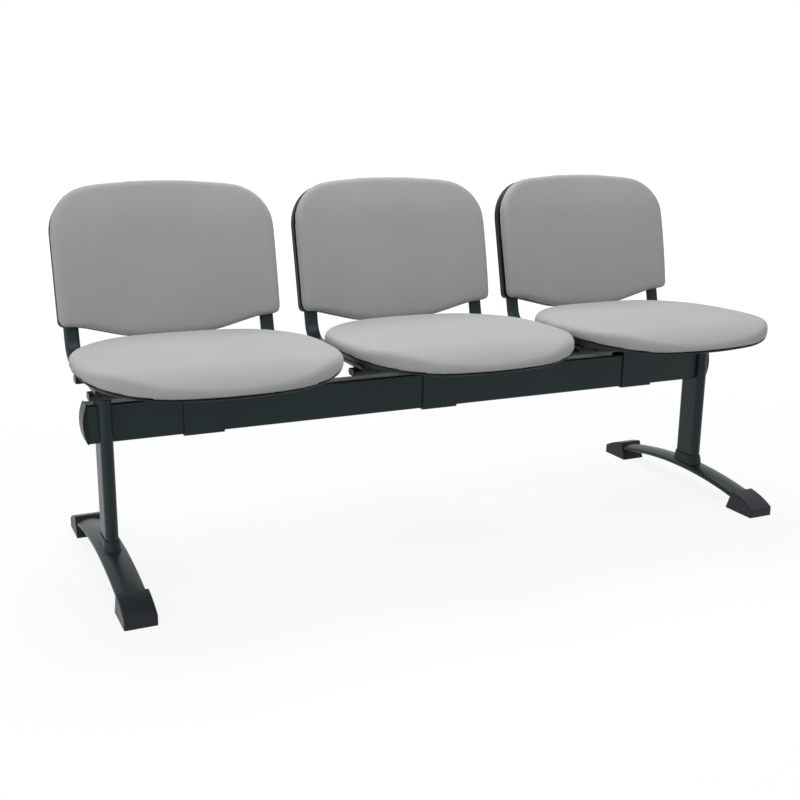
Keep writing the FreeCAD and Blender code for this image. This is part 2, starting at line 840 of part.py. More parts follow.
def beam_cap(side):
    """Plug with a lip that covers the beam's end and a swelling face."""
    end = beam_left_end() if side < 0 else beam_right_end()
    outward = ALONG * side
    half_depth = beam_depth / 2 + beam_cap_margin
    low = beam_underside_height - beam_cap_margin
    high = beam_top_height + beam_cap_margin
    reach = beam_cap_lip + beam_cap_dome
    near = min(end, end + side * reach)
    lip = rounded_box(
        Vector(near, -half_depth, low), Vector(near + reach, half_depth, high), beam_corner
    )
    middle = (low + high) / 2
    edge_x = end + side * beam_cap_lip
    tip_x = end + side * reach
    swell = face_of(
        [
            arc(Vector(edge_x, 0, low), Vector(tip_x, 0, middle), Vector(edge_x, 0, high)),
            line(Vector(edge_x, 0, high), Vector(end, 0, high)),
            line(Vector(end, 0, high), Vector(end, 0, low)),
            line(Vector(end, 0, low), Vector(edge_x, 0, low)),
        ]
    )
    swell.translate(BACKWARD * -half_depth)
    head = lip.common(swell.extrude(BACKWARD * (2 * half_depth)))
    inset = beam_wall + plug_gap
    plug_end = end - side * beam_cap_plug
    plug = rounded_box(
        Vector(min(end, plug_end), -beam_depth / 2 + inset, beam_underside_height + inset),
        Vector(max(end, plug_end), beam_depth / 2 - inset, beam_top_height - inset),
        beam_corner - beam_wall,
    )
    return fuse_all([head, plug])


# Legs

def foot_bar_section(grow):
    """Foot bar section at the top of its arch: flat oval with a crowned top and underside."""
    half = foot_bar_width / 2
    rise = foot_bar_height / 2
    shoulder = half - foot_bar_shoulder_inset
    side = foot_bar_shoulder_height / 2

    def at(x, z):
        return Vector(x, foot_arch_top_setback, foot_arch_top_height + z)

    wire = Part.Wire(
        [
            arc(at(-shoulder, side), at(0, rise), at(shoulder, side)),
            arc(at(shoulder, side), at(half, 0), at(shoulder, -side)),
            arc(at(shoulder, -side), at(0, -rise), at(-shoulder, -side)),
            arc(at(-shoulder, -side), at(-half, 0), at(-shoulder, side)),
        ]
    )
    if grow:
        wire = wire.makeOffset2D(grow)
    return Part.Face(wire)


def foot_bar_solid(grow, overrun):
    """Foot bar as a filled arch between its two ends, grown and lengthened."""
    front = -foot_front_reach + foot_bar_end_cover - foot_arch_top_setback - overrun
    rear = foot_rear_reach - foot_bar_end_cover - foot_arch_top_setback + overrun
    centre = Vector(0, foot_arch_top_setback, foot_arch_top_height - foot_arch_radius)
    front_angle = math.degrees(math.asin(front / foot_arch_radius))
    rear_angle = math.degrees(math.asin(rear / foot_arch_radius))
    section = foot_bar_section(grow)
    section.rotate(centre, ALONG, -rear_angle)
    return section.revolve(centre, ALONG, rear_angle - front_angle)


def foot_bar():
    return foot_bar_solid(0, 0).cut(foot_bar_solid(-foot_bar_wall, 1))


def foot_pad(facing):
    """Shoe at one end of the foot bar; facing is -1 for the front and 1 for the rear."""
    toe = foot_front_reach if facing < 0 else foot_rear_reach
    half = pad_width / 2

    def at(setback, z):
        return Vector(-half, facing * (toe - setback), z)

    heel = at(pad_top_length, pad_heel_height)
    side = face_of(
        [
            line(at(0, 0), at(0, pad_toe_height)),
            arc(at(0, pad_toe_height), at(pad_length * pad_brow_share, pad_middle_height), heel),
            line(heel, at(pad_length, 0)),
            line(at(pad_length, 0), at(0, 0)),
        ]
    )
    shoe = side.extrude(ALONG * pad_width)
    side_edges = [edge for edge in shoe.Edges if abs(edge.CenterOfMass.x) > half - 0.01]
    upper_edges = [edge for edge in side_edges if edge.CenterOfMass.z > pad_edge_round]
    brow_end = toe - pad_top_length
    brow_edges = [edge for edge in upper_edges if abs(edge.CenterOfMass.y) > brow_end]
    shoe = shoe.makeFillet(pad_edge_round, brow_edges)
    return shoe.cut(foot_bar_solid(fit_gap, fit_gap))


def column_bar(grow, low, high):
    return oval_bar(
        UP * low, UP * high, BACKWARD, ALONG, column_depth + 2 * grow, column_width + 2 * grow
    )


def column(side):
    """Upright flat-oval tube with a window that the beam passes through."""
    tube = column_bar(0, foot_arch_top_height, column_top_height)
    tube = tube.cut(column_bar(-column_wall, foot_arch_top_height - 1, column_top_height + 1))
    window = beam_box(fit_gap, fit_gap).translated(ALONG * (-side * leg_spacing / 2))
    shafts = leg_screw_shafts(side, large_screw_radius + screw_gap)
    shafts = [shaft.translated(ALONG * (-side * leg_spacing / 2)) for shaft in shafts]
    return cut_all(tube, [foot_bar_solid(weld_gap, 0), window] + shafts)


def column_cap():
    head = column_bar(0, column_top_height, column_top_height + column_cap_head)
    top = UP * (column_top_height + column_cap_head)
    head = head.makeFillet(column_cap_head / 2, end_edges(head, top, UP))
    bore_fit = -column_wall - plug_gap
    plug = column_bar(bore_fit, column_top_height - column_cap_plug, column_top_height)
    return fuse_all([head, plug])


def collar():
    """Flared skirt round the column where it meets the foot bar."""
    low = foot_arch_top_height + foot_bar_shoulder_height / 4
    grow = fit_gap + collar_wall
    top = oval_face(
        UP * collar_top_height, BACKWARD, ALONG, column_depth + 2 * grow, column_width + 2 * grow
    )
    base = oval_face(
        UP * low,
        BACKWARD,
        ALONG,
        column_depth + 2 * (grow + collar_flare_end),
        column_width + 2 * (grow + collar_flare_side),
    )
    skirt = Part.makeLoft([base.OuterWire, top.OuterWire], True)
    hole = column_bar(fit_gap, low - 1, collar_top_height + 1)
    return cut_all(skirt, [hole, foot_bar_solid(weld_gap, 0)])


def leg_screw_points(side):
    """Screws that hold the column to the beam from behind."""
    middle = beam_underside_height + beam_height / 2
    points = []
    for step in (-0.5, 0.5):
        height = middle + step * leg_screw_spacing
        points.append(Vector(side * leg_spacing / 2, column_depth / 2, height))
    return points


def leg_screw_length():
    return column_depth / 2 - beam_depth / 2 + beam_wall + screw_end_length


def leg_screw_shafts(side, radius):
    reach = BACKWARD * -(leg_screw_length() + screw_gap)
    return [
        cylinder_between(point + BACKWARD, point + reach, radius)
        for point in leg_screw_points(side)
    ]


# Groups of like fasteners

def small_screws(points, way, length):
    return Part.makeCompound(
        [
            screw(point, way, length, small_screw_radius, small_screw_head_radius, small_screw_head)
            for point in points
        ]
    )


def large_screw(point, way, length):
    return screw(point, way, length, large_screw_radius, large_screw_head_radius, large_screw_head)


def bracket_bolts():
    bolts = []
    for x in seat_places():
        for point in bracket_bolt_points():
            bolts.append(large_screw(point + ALONG * x, UP, bracket_bolt_length()))
    return Part.makeCompound(bolts)


def leg_screws():
    screws = []
    for side in (-1, 1):
        for point in leg_screw_points(side):
            screws.append(large_screw(point, BACKWARD * -1, leg_screw_length()))
    return Part.makeCompound(screws)


# The whole row

def seat_places():
    return [(place - (seat_count - 1) / 2) * seat_pitch for place in range(seat_count)]


def seat_pieces():
    return {
        "seat_{}_cushion": seat_cushion(),
        "seat_{}_board": seat_board(),
        "seat_{}_shell": seat_shell(),
        "seat_{}_screws": seat_screws(),
        "back_{}_cushion": leaned(back_cushion()),
        "back_{}_board": leaned(back_board()),
        "back_{}_shell": leaned(back_shell()),
        "back_{}_screws": leaned(back_screws()),
        "upright_{}_left": upright(-1),
        "upright_{}_right": upright(1),
        "cross_tube_{}_front": cross_tube(-cross_tube_setout),
        "cross_tube_{}_rear": cross_tube(cross_tube_setout),
        "tube_plugs_{}": tube_plugs(),
        "beam_bracket_{}": beam_bracket(),
    }


def leg_pieces(side):
    return {
        "column_{}": column(side),
        "column_cap_{}": column_cap(),
        "collar_{}": collar(),
        "foot_bar_{}": foot_bar(),
        "foot_pad_{}_front": foot_pad(-1),
        "foot_pad_{}_rear": foot_pad(1),
    }


def row_pieces():
    pieces = {
        "beam": beam(),
        "beam_cap_left": beam_cap(-1),
        "beam_cap_right": beam_cap(1),
        "bracket_bolts": bracket_bolts(),
        "leg_screws": leg_screws(),
    }
    for name, shape in seat_pieces().items():
        for number, x in enumerate(seat_places(), start=1):
            pieces[name.format(number)] = shape.translated(ALONG * x)
    for side, word in ((-1, "left"), (1, "right")):
        for name, shape in leg_pieces(side).items():
            pieces[name.format(word)] = shape.translated(ALONG * (side * leg_spacing / 2))
    return pieces


def main():
    os.makedirs("parts", exist_ok=True)
    pieces = row_pieces()
    box = Part.makeCompound(list(pieces.values())).optimalBoundingBox(False)
    home = Vector(-box.Center.x, -box.Center.y, -box.ZMin)
    for name, shape in pieces.items():
        shape.translated(home).exportStep("parts/" + name + ".step")
    print("pieces", len(pieces))
    print("size", round(box.XLength, 1), round(box.YLength, 1), round(box.ZLength, 1))
    print("moved by", round(home.x, 2), round(home.y, 2), round(home.z, 2))


main()
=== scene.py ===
import json
import math

import bmesh
import bpy
from mathutils import Euler, Matrix, Vector, noise
from mathutils.bvhtree import BVHTree
from mathutils.kdtree import KDTree


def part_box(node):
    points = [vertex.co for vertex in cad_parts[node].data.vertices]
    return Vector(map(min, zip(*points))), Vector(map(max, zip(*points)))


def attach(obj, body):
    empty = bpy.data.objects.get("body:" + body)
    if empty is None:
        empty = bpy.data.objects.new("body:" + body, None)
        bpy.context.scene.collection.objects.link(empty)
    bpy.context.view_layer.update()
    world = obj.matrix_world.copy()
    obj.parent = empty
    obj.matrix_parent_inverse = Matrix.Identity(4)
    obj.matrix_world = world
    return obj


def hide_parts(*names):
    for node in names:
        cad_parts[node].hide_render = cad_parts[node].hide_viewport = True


bl_info = {
    "name": "Beam Seating Finishes",
    "version": (1, 0, 0),
    "blender": (4, 5, 0),
    "location": "3D View > Sidebar > Bench",
    "description": "Upholstery, paint, plastics, welds and studio for a three-seat beam bench",
    "category": "Object",
}

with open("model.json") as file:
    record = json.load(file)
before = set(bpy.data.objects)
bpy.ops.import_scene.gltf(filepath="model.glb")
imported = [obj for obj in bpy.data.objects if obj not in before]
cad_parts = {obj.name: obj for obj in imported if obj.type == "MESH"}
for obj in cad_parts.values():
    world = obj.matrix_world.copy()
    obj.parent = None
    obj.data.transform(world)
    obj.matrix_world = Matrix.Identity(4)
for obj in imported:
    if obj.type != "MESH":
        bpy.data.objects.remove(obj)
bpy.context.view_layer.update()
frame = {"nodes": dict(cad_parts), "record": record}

BODY = "root"
SEAT_NUMBERS = (1, 2, 3)
TUBE_ENDS = ("front", "rear")
SIDES = ("left", "right")
MILLIMETRE = 0.001

# Range that most of a noise pattern's values lie in
NOISE_SPREAD = {"From Min": 0.3, "From Max": 0.7}


def linear(hex_colour):
    """Linear red, green and blue from an sRGB hex value."""
    channels = [int(hex_colour[place : place + 2], 16) / 255 for place in (1, 3, 5)]
    return [c / 12.92 if c <= 0.04045 else ((c + 0.055) / 1.055) ** 2.4 for c in channels]


# Settings that a user would change


class UpholsterySettings(bpy.types.PropertyGroup):
    """Fabric and padding of the seats and backrests."""

    colour: bpy.props.FloatVectorProperty(
        name="Yarn", description="Main colour of the fabric", subtype="COLOR",
        default=linear("#B4B4B4"),
    )
    # Painted shade: the colour that the cloth takes where the weave dips between and under its
    # threads
    yarn_in_shade: bpy.props.FloatVectorProperty(
        name="Yarn in Shade", description="Colour between the threads", subtype="COLOR",
        default=linear("#9A9A9A"),
    )
    thread: bpy.props.FloatProperty(
        name="Thread Spacing", description="Distance from one thread to the next",
        default=1.5 * MILLIMETRE, unit="LENGTH", precision=4,
    )
    voxel: bpy.props.FloatProperty(
        name="Remesh Size", description="Grid size of the padded shapes",
        default=5 * MILLIMETRE, unit="LENGTH", precision=4,
    )
    slack: bpy.props.FloatProperty(
        name="Slack", description="How far the cover starts inside its full shape",
        default=2 * MILLIMETRE, unit="LENGTH", precision=4,
    )
    swell: bpy.props.FloatProperty(
        name="Swell", description="How far the cover may stand out of its full shape",
        default=4 * MILLIMETRE, unit="LENGTH", precision=4,
    )
    held_reach: bpy.props.FloatProperty(
        name="Held Reach", description="The cover is held this near to its board and shell",
        default=4 * MILLIMETRE, unit="LENGTH", precision=4,
    )
    pressure: bpy.props.FloatProperty(
        name="Foam Pressure", description="Push of the foam on the cover", default=6.0
    )
    easing: bpy.props.IntProperty(
        name="Easing", description="Rounds that even out the cover's bulge", default=24, min=0
    )
    gather_depth: bpy.props.FloatProperty(
        name="Gather Depth", description="Depth of the small gathers along the lower hem",
        default=0.7 * MILLIMETRE, unit="LENGTH", precision=4,
    )
    gather_width: bpy.props.FloatProperty(
        name="Gather Width", description="Distance from one gather to the next",
        default=16 * MILLIMETRE, unit="LENGTH", precision=4,
    )
    gather_reach: bpy.props.FloatProperty(
        name="Gather Reach", description="How far the gathers run up from the hem",
        default=12 * MILLIMETRE, unit="LENGTH", precision=4,
    )
    top_reach: bpy.props.FloatProperty(
        name="Top Reach", description="Height of the long curve at the top of a back pad",
        default=100 * MILLIMETRE, unit="LENGTH", precision=4,
    )
    top_fall: bpy.props.FloatProperty(
        name="Top Fall", description="How much thinner a back pad is at its top edge",
        default=17 * MILLIMETRE, unit="LENGTH", precision=4,
    )
    unevenness: bpy.props.FloatProperty(
        name="Unevenness", description="Height of the foam's broad hollows and swells",
        default=0.9 * MILLIMETRE, unit="LENGTH", precision=4,
    )


class HardFinishSettings(bpy.types.PropertyGroup):
    """Paint, plastics, wood and zinc."""

    paint: bpy.props.FloatVectorProperty(
        name="Paint", description="Powder coat on all steel", subtype="COLOR",
        default=linear("#262E30"),
    )
    shell: bpy.props.FloatVectorProperty(
        name="Shells", description="Moulded shells under the seats and behind the backs",
        subtype="COLOR", default=linear("#0E0F10"),
    )
    foot: bpy.props.FloatVectorProperty(
        name="Feet", description="Moulded shoes and collars", subtype="COLOR",
        default=linear("#2B3033"),
    )
    plug: bpy.props.FloatVectorProperty(
        name="Plugs", description="Tube plugs and beam caps", subtype="COLOR",
        default=linear("#171B1C"),
    )
    wood: bpy.props.FloatVectorProperty(
        name="Boards", description="Raw beech plywood in the seats and backs", subtype="COLOR",
        default=linear("#C39A6B"),
    )
    zinc: bpy.props.FloatVectorProperty(
        name="Screws", description="Zinc plate on the screws", subtype="COLOR",
        default=linear("#A9ABAD"),
    )
    grain: bpy.props.FloatProperty(
        name="Plastic Grain", description="Size of the moulded grain",
        default=0.9 * MILLIMETRE, unit="LENGTH", precision=4,
    )
    peel: bpy.props.FloatProperty(
        name="Paint Peel", description="Size of the powder coat's ripples",
        default=2.2 * MILLIMETRE, unit="LENGTH", precision=4,
    )


class WeldSettings(bpy.types.PropertyGroup):
    """Weld beads of the seat frames."""

    bead: bpy.props.FloatProperty(
        name="Bead Radius", description="Half the width of a weld bead",
        default=2.6 * MILLIMETRE, unit="LENGTH", precision=4,
    )
    ripple: bpy.props.FloatProperty(
        name="Ripple", description="Distance from one ripple of a bead to the next",
        default=2.2 * MILLIMETRE, unit="LENGTH", precision=4,
    )


class StudioSettings(bpy.types.PropertyGroup):
    """Camera, lamps and floor."""

    camera_place: bpy.props.FloatVectorProperty(
        name="Camera", description="Where the camera stands", subtype="TRANSLATION",
        default=(-1.0584, -2.0683, 0.8757),
    )
    turn: bpy.props.FloatProperty(
        name="Turn", description="Camera's turn to the right of straight ahead",
        default=0.443, subtype="ANGLE",
    )
    dip: bpy.props.FloatProperty(
        name="Dip", description="Camera's tilt below the horizon", default=0.253, subtype="ANGLE"
    )
    roll: bpy.props.FloatProperty(
        name="Roll", description="Camera's roll about its own axis", default=0.013,
        subtype="ANGLE",
    )
    lens: bpy.props.FloatProperty(
        name="Lens", description="Focal length in millimetres for a 36 mm sensor", default=50.02
    )
    floor_colour: bpy.props.FloatVectorProperty(
        name="Floor", description="Colour of the studio floor", subtype="COLOR",
        default=linear("#CCCCCC"),
    )
    key_power: bpy.props.FloatProperty(
        name="Key Lamp", description="Power of the large lamp above and behind", default=42.0,
        unit="POWER",
    )
    front_power: bpy.props.FloatProperty(
        name="Front Lamp", description="Power of the soft lamp above and in front", default=25.0,
        unit="POWER",
    )
    side_power: bpy.props.FloatProperty(
        name="Side Lamp", description="Power of the tall lamp on the left", default=14.0,
        unit="POWER",
    )
    surround: bpy.props.FloatProperty(
        name="Surround", description="Strength of the even light from all round", default=0.3
    )


# Materials

# How often the slow changes of each finish repeat in one metre
FADING = 6.0
DUST = 9.0
FLOW = 14.0
ZINC_PATCHES = 350.0
# Beech grain about 80 mm long and 6 mm wide, also as repeats in one metre
WOOD_GRAIN = (12, 160, 160)


def new_material(name):
    """A material with a shader and an output, and nothing else."""
    material = bpy.data.materials.new(name)
    material.use_nodes = True
    return material, material.node_tree.nodes["Principled BSDF"]


def set_inputs(material, node, inputs):
    """Set a node's inputs, or link them where a socket is given."""
    for socket, value in inputs.items():
        if isinstance(value, bpy.types.NodeSocket):
            material.node_tree.links.new(value, node.inputs[socket])
        else:
            node.inputs[socket].default_value = value


def add_node(material, kind, inputs=None, **settings):
    """Add a node with its settings and inputs."""
    node = material.node_tree.nodes.new(kind)
    for name, value in settings.items():
        setattr(node, name, value)
    set_inputs(material, node, inputs or {})
    return node


def opaque(colour):
    """A colour with full cover, as a colour socket takes it."""
    return (*colour, 1.0)


def woven_polyester(settings):
    """Plain-woven polyester: matt, a little lighter at grazing angles from its short fibres.

    The real thread is about half a millimetre; it is drawn coarser so that it shows.
    """
    material, shader = new_material("woven_polyester")
    cloth = add_node(material, "ShaderNodeUVMap", uv_map="cloth")
    threads = add_node(
        material, "ShaderNodeVectorMath", {0: cloth.outputs["UV"], "Scale": 1 / settings.thread},
        operation="SCALE",
    )
    split = add_node(material, "ShaderNodeSeparateXYZ", {0: threads.outputs[0]})
    heights = []
    for along, across in (("X", "Y"), ("Y", "X")):
        place = split.outputs[along]
        number = add_node(material, "ShaderNodeMath", {0: place}, operation="FLOOR")
        turned = add_node(
            material, "ShaderNodeMath", {0: place, 1: math.pi}, operation="MULTIPLY"
        )
        wave = add_node(material, "ShaderNodeMath", {0: turned.outputs[0]}, operation="SINE")
        roundness = add_node(
            material, "ShaderNodeMath", {0: wave.outputs[0]}, operation="ABSOLUTE"
        )
        step = add_node(
            material, "ShaderNodeMath", {0: split.outputs[across], 1: number.outputs[0]},
            operation="ADD",
        )
        if along == "Y":
            step = add_node(
                material, "ShaderNodeMath", {0: step.outputs[0], 1: 1.0}, operation="ADD"
            )
        angle = add_node(
            material, "ShaderNodeMath", {0: step.outputs[0], 1: math.pi}, operation="MULTIPLY"
        )
        sway = add_node(material, "ShaderNodeMath", {0: angle.outputs[0]}, operation="COSINE")
        over = add_node(
            material, "ShaderNodeMath", {0: sway.outputs[0], 1: 0.5, 2: 0.5},
            operation="MULTIPLY_ADD",
        )
        heights.append(
            add_node(
                material, "ShaderNodeMath", {0: roundness.outputs[0], 1: over.outputs[0]},
                operation="MULTIPLY",
            )
        )
    weave = add_node(
        material, "ShaderNodeMath", {0: heights[0].outputs[0], 1: heights[1].outputs[0]},
        operation="MAXIMUM",
    )
    place = add_node(material, "ShaderNodeTexCoord")
    fuzz = add_node(
        material, "ShaderNodeTexNoise",
        {"Vector": place.outputs["Object"], "Scale": 0.5 / settings.thread, "Detail": 3.0},
    )
    wear = add_node(
        material, "ShaderNodeTexNoise",
        {"Vector": place.outputs["Object"], "Scale": FADING, "Detail": 2.0, "Roughness": 0.4},
    )
    shade = add_node(
        material, "ShaderNodeMath", {0: fuzz.outputs["Fac"], 1: 0.55, 2: 0.1},
        operation="MULTIPLY_ADD",
    )
    # Painted shade: the colour goes darker, towards the shaded yarn colour, where the weave dips
    # between and under threads. The fuzz noise adds a random tone on top of that.
    depth = add_node(
        material, "ShaderNodeMath", {0: weave.outputs[0], 1: 0.45, 2: shade.outputs[0]},
        operation="MULTIPLY_ADD", use_clamp=True,
    )
    yarn = add_node(
        material, "ShaderNodeMix",
        {"Factor": depth.outputs[0], "A": opaque(settings.yarn_in_shade), "B": opaque(settings.colour)},
        data_type="RGBA",
    )
    drift = add_node(
        material, "ShaderNodeMapRange",
        {**NOISE_SPREAD, "Value": wear.outputs["Fac"], "To Min": 0.97, "To Max": 1.03},
    )
    tint = add_node(
        material, "ShaderNodeVectorMath",
        {0: yarn.outputs["Result"], "Scale": drift.outputs["Result"]}, operation="SCALE",
    )
    relief = add_node(
        material, "ShaderNodeMath", {0: fuzz.outputs["Fac"], 1: 0.5, 2: weave.outputs[0]},
        operation="MULTIPLY_ADD",
    )
    bump = add_node(
        material, "ShaderNodeBump",
        {"Strength": 0.35, "Distance": 0.25 * settings.thread, "Height": relief.outputs[0]},
    )
    set_inputs(
        material, shader,
        {"Base Color": tint.outputs[0], "Roughness": 0.85, "IOR": 1.46, "Sheen Weight": 0.25,
         "Sheen Roughness": 0.5, "Normal": bump.outputs["Normal"]},
    )
    return material


def powder_coat(settings):
    """Black powder coat baked on steel: low gloss with a faint orange peel."""
    material, shader = new_material("powder_coat")
    place = add_node(material, "ShaderNodeTexCoord")
    peel = add_node(
        material, "ShaderNodeTexNoise",
        {"Vector": place.outputs["Object"], "Scale": 1 / settings.peel, "Detail": 1.0},
    )
    dust = add_node(
        material, "ShaderNodeTexNoise",
        {"Vector": place.outputs["Object"], "Scale": DUST, "Detail": 4.0, "Roughness": 0.6},
    )
    gloss = add_node(
        material, "ShaderNodeMapRange",
        {**NOISE_SPREAD, "Value": dust.outputs["Fac"], "To Min": 0.3, "To Max": 0.4},
    )
    tint = add_node(
        material, "ShaderNodeMapRange",
        {**NOISE_SPREAD, "Value": dust.outputs["Fac"], "To Min": 0.92, "To Max": 1.1},
    )
    colour = add_node(
        material, "ShaderNodeVectorMath", {0: settings.paint, "Scale": tint.outputs["Result"]},
        operation="SCALE",
    )
    bump = add_node(
        material, "ShaderNodeBump",
        {"Strength": 0.12, "Distance": 0.1 * settings.peel, "Height": peel.outputs["Fac"]},
    )
    set_inputs(
        material, shader,
        {"Base Color": colour.outputs[0], "Roughness": gloss.outputs["Result"], "IOR": 1.5,
         "Specular IOR Level": 0.25, "Specular Tint": (0.8, 1.0, 0.99, 1.0),
         "Normal": bump.outputs["Normal"]},
    )
    return material


def moulded_plastic(name, colour, grain, roughness):
    """Injection-moulded plastic with an etched grain: even, dry and slightly greyed."""
    material, shader = new_material(name)
    place = add_node(material, "ShaderNodeTexCoord")
    cells = add_node(
        material, "ShaderNodeTexVoronoi", {"Vector": place.outputs["Object"], "Scale": 1 / grain}
    )
    flow = add_node(
        material, "ShaderNodeTexNoise",
        {"Vector": place.outputs["Object"], "Scale": FLOW, "Detail": 3.0},
    )
    gloss = add_node(
        material, "ShaderNodeMapRange",
        {**NOISE_SPREAD, "Value": flow.outputs["Fac"], "To Min": roughness - 0.05,
         "To Max": roughness + 0.06},
    )
    tint = add_node(
        material, "ShaderNodeMapRange",
        {**NOISE_SPREAD, "Value": flow.outputs["Fac"], "To Min": 0.9, "To Max": 1.12},
    )
    shade = add_node(
        material, "ShaderNodeVectorMath", {0: colour, "Scale": tint.outputs["Result"]},
        operation="SCALE",
    )
    bump = add_node(
        material, "ShaderNodeBump",
        {"Strength": 0.2, "Distance": 0.1 * grain, "Height": cells.outputs["Distance"]},
    )
    set_inputs(
        material, shader,
        {"Base Color": shade.outputs[0], "Roughness": gloss.outputs["Result"], "IOR": 1.49,
         "Specular IOR Level": 0.2, "Normal": bump.outputs["Normal"]},
    )
    return material


def beech_plywood(settings):
    """Raw beech plywood: long pale grain with short darker flecks."""
    material, shader = new_material("beech_plywood")
    place = add_node(material, "ShaderNodeTexCoord")
    stretched = add_node(
        material, "ShaderNodeMapping", {"Vector": place.outputs["Object"], "Scale": WOOD_GRAIN}
    )
    grain = add_node(
        material, "ShaderNodeTexNoise",
        {"Vector": stretched.outputs["Vector"], "Scale": 1.0, "Detail": 5.0},
    )
    shade = add_node(
        material, "ShaderNodeMapRange",
        {**NOISE_SPREAD, "Value": grain.outputs["Fac"], "To Min": 0.78, "To Max": 1.08},
    )
    colour = add_node(
        material, "ShaderNodeVectorMath", {0: settings.wood, "Scale": shade.outputs["Result"]},
        operation="SCALE",
    )
    bump = add_node(
        material, "ShaderNodeBump",
        {"Strength": 0.2, "Distance": 0.2 * MILLIMETRE, "Height": grain.outputs["Fac"]},
    )
    set_inputs(
        material, shader,
        {"Base Color": colour.outputs[0], "Roughness": 0.65, "Normal": bump.outputs["Normal"]},
    )
    return material


def zinc_plate(settings):
    """Bright zinc plate on steel screws: cool, with a patchy satin gloss."""
    material, shader = new_material("zinc_plate")
    place = add_node(material, "ShaderNodeTexCoord")
    patches = add_node(
        material, "ShaderNodeTexNoise",
        {"Vector": place.outputs["Object"], "Scale": ZINC_PATCHES, "Detail": 2.0},
    )
    gloss = add_node(
        material, "ShaderNodeMapRange",
        {**NOISE_SPREAD, "Value": patches.outputs["Fac"], "To Min": 0.25, "To Max": 0.45},
    )
    set_inputs(
        material, shader,
        {"Base Color": opaque(settings.zinc), "Metallic": 1.0,
         "Roughness": gloss.outputs["Result"]},
    )
    return material


def dress(names, material):
    """Give CAD nodes a material, without touching their meshes."""
    for name in names:
        node = frame["nodes"][name]
        if not node.material_slots:
            node.data.materials.append(None)
        for slot in node.material_slots:
            slot.link = "OBJECT"
            slot.material = material


def nodes_of_slot(slot):
    """Names of the CAD nodes that have a finish."""
    rows = frame["record"]["subparts"]
    return [row["node"] for row in rows if row["material_slot"] == slot]


# Padding

# Cloth of a cover while it is blown up
COVER = {
    "quality": 5, "mass": 0.3, "tension_stiffness": 8.0, "compression_stiffness": 8.0,
    "shear_stiffness": 4.0, "bending_stiffness": 0.5, "use_pressure": True,
}
BLOWING_FRAMES = 20
SMOOTHING_ROUNDS = 4
SHARP_CORNER = math.radians(50)
# Share of a voxel within which a point of the hem moves onto a sharp edge
CORNER_REACH = 0.6
# Hollows and swells of the foam in one metre
SWELLS = 7.0


def new_piece(name, mesh, material):
    """A finished piece that stands where the CAD model does and rides on the bench."""
    piece = bpy.data.objects.new(name, mesh)
    bpy.context.scene.collection.objects.link(piece)
    mesh.materials.clear()
    mesh.materials.append(material)
    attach(piece, BODY)
    return piece


def shaped_mesh(piece):
    """The piece's mesh with its modifiers worked in."""
    bpy.context.view_layer.update()
    depsgraph = bpy.context.evaluated_depsgraph_get()
    return bpy.data.meshes.new_from_object(piece.evaluated_get(depsgraph))


def scratch_piece(name, mesh):
    """A piece for work in between, which is removed again."""
    piece = bpy.data.objects.new(name, mesh)
    bpy.context.scene.collection.objects.link(piece)
    return piece


def node_form(node_name):
    """A CAD node's own surface, for measuring; its triangles are loose."""
    form = bmesh.new()
    form.from_mesh(frame["nodes"][node_name].data)
    return form


def joined_copy(node_name):
    """A CAD node's surface as one joined mesh."""
    form = node_form(node_name)
    bmesh.ops.remove_doubles(form, verts=form.verts, dist=0.01 * MILLIMETRE)
    mesh = bpy.data.meshes.new(node_name + "_copy")
    form.to_mesh(mesh)
    form.free()
    return mesh


def remeshed(node_name, voxel):
    """A CAD node's surface on an even grid, with points for the cloth to bend at."""
    piece = scratch_piece("remesh", joined_copy(node_name))
    grid = piece.modifiers.new("Grid", "REMESH")
    grid.mode = "VOXEL"
    grid.voxel_size = voxel
    mesh = shaped_mesh(piece)
    bpy.data.objects.remove(piece)
    return mesh


def foam_depths(mesh, holders):
    """Distance of each point of a cover from the board or the shell that carries it."""
    trees = []
    for name in holders:
        form = node_form(name)
        trees.append(BVHTree.FromBMesh(form))
        form.free()
    return [min(tree.find_nearest(point.co)[3] for tree in trees) for point in mesh.vertices]


def fit_hem(mesh, node_name, held, reach):
    """Lay the hem on the CAD form again, and its corners on the form's sharp edges."""
    form = bmesh.new()
    form.from_mesh(joined_copy(node_name))
    surface = BVHTree.FromBMesh(form)
    corners = []
    for edge in form.edges:
        if len(edge.link_faces) == 2 and edge.calc_face_angle() > SHARP_CORNER:
            start, end = (point.co.copy() for point in edge.verts)
            steps = math.ceil(edge.calc_length() / MILLIMETRE)
            corners += [start.lerp(end, number / steps) for number in range(steps + 1)]
    form.free()
    tree = KDTree(len(corners))
    for number, corner in enumerate(corners):
        tree.insert(corner, number)
    tree.balance()
    for number in held:
        point = mesh.vertices[number]
        corner, _, distance = tree.find(point.co)
        point.co = corner if distance < reach else surface.find_nearest(point.co)[0]


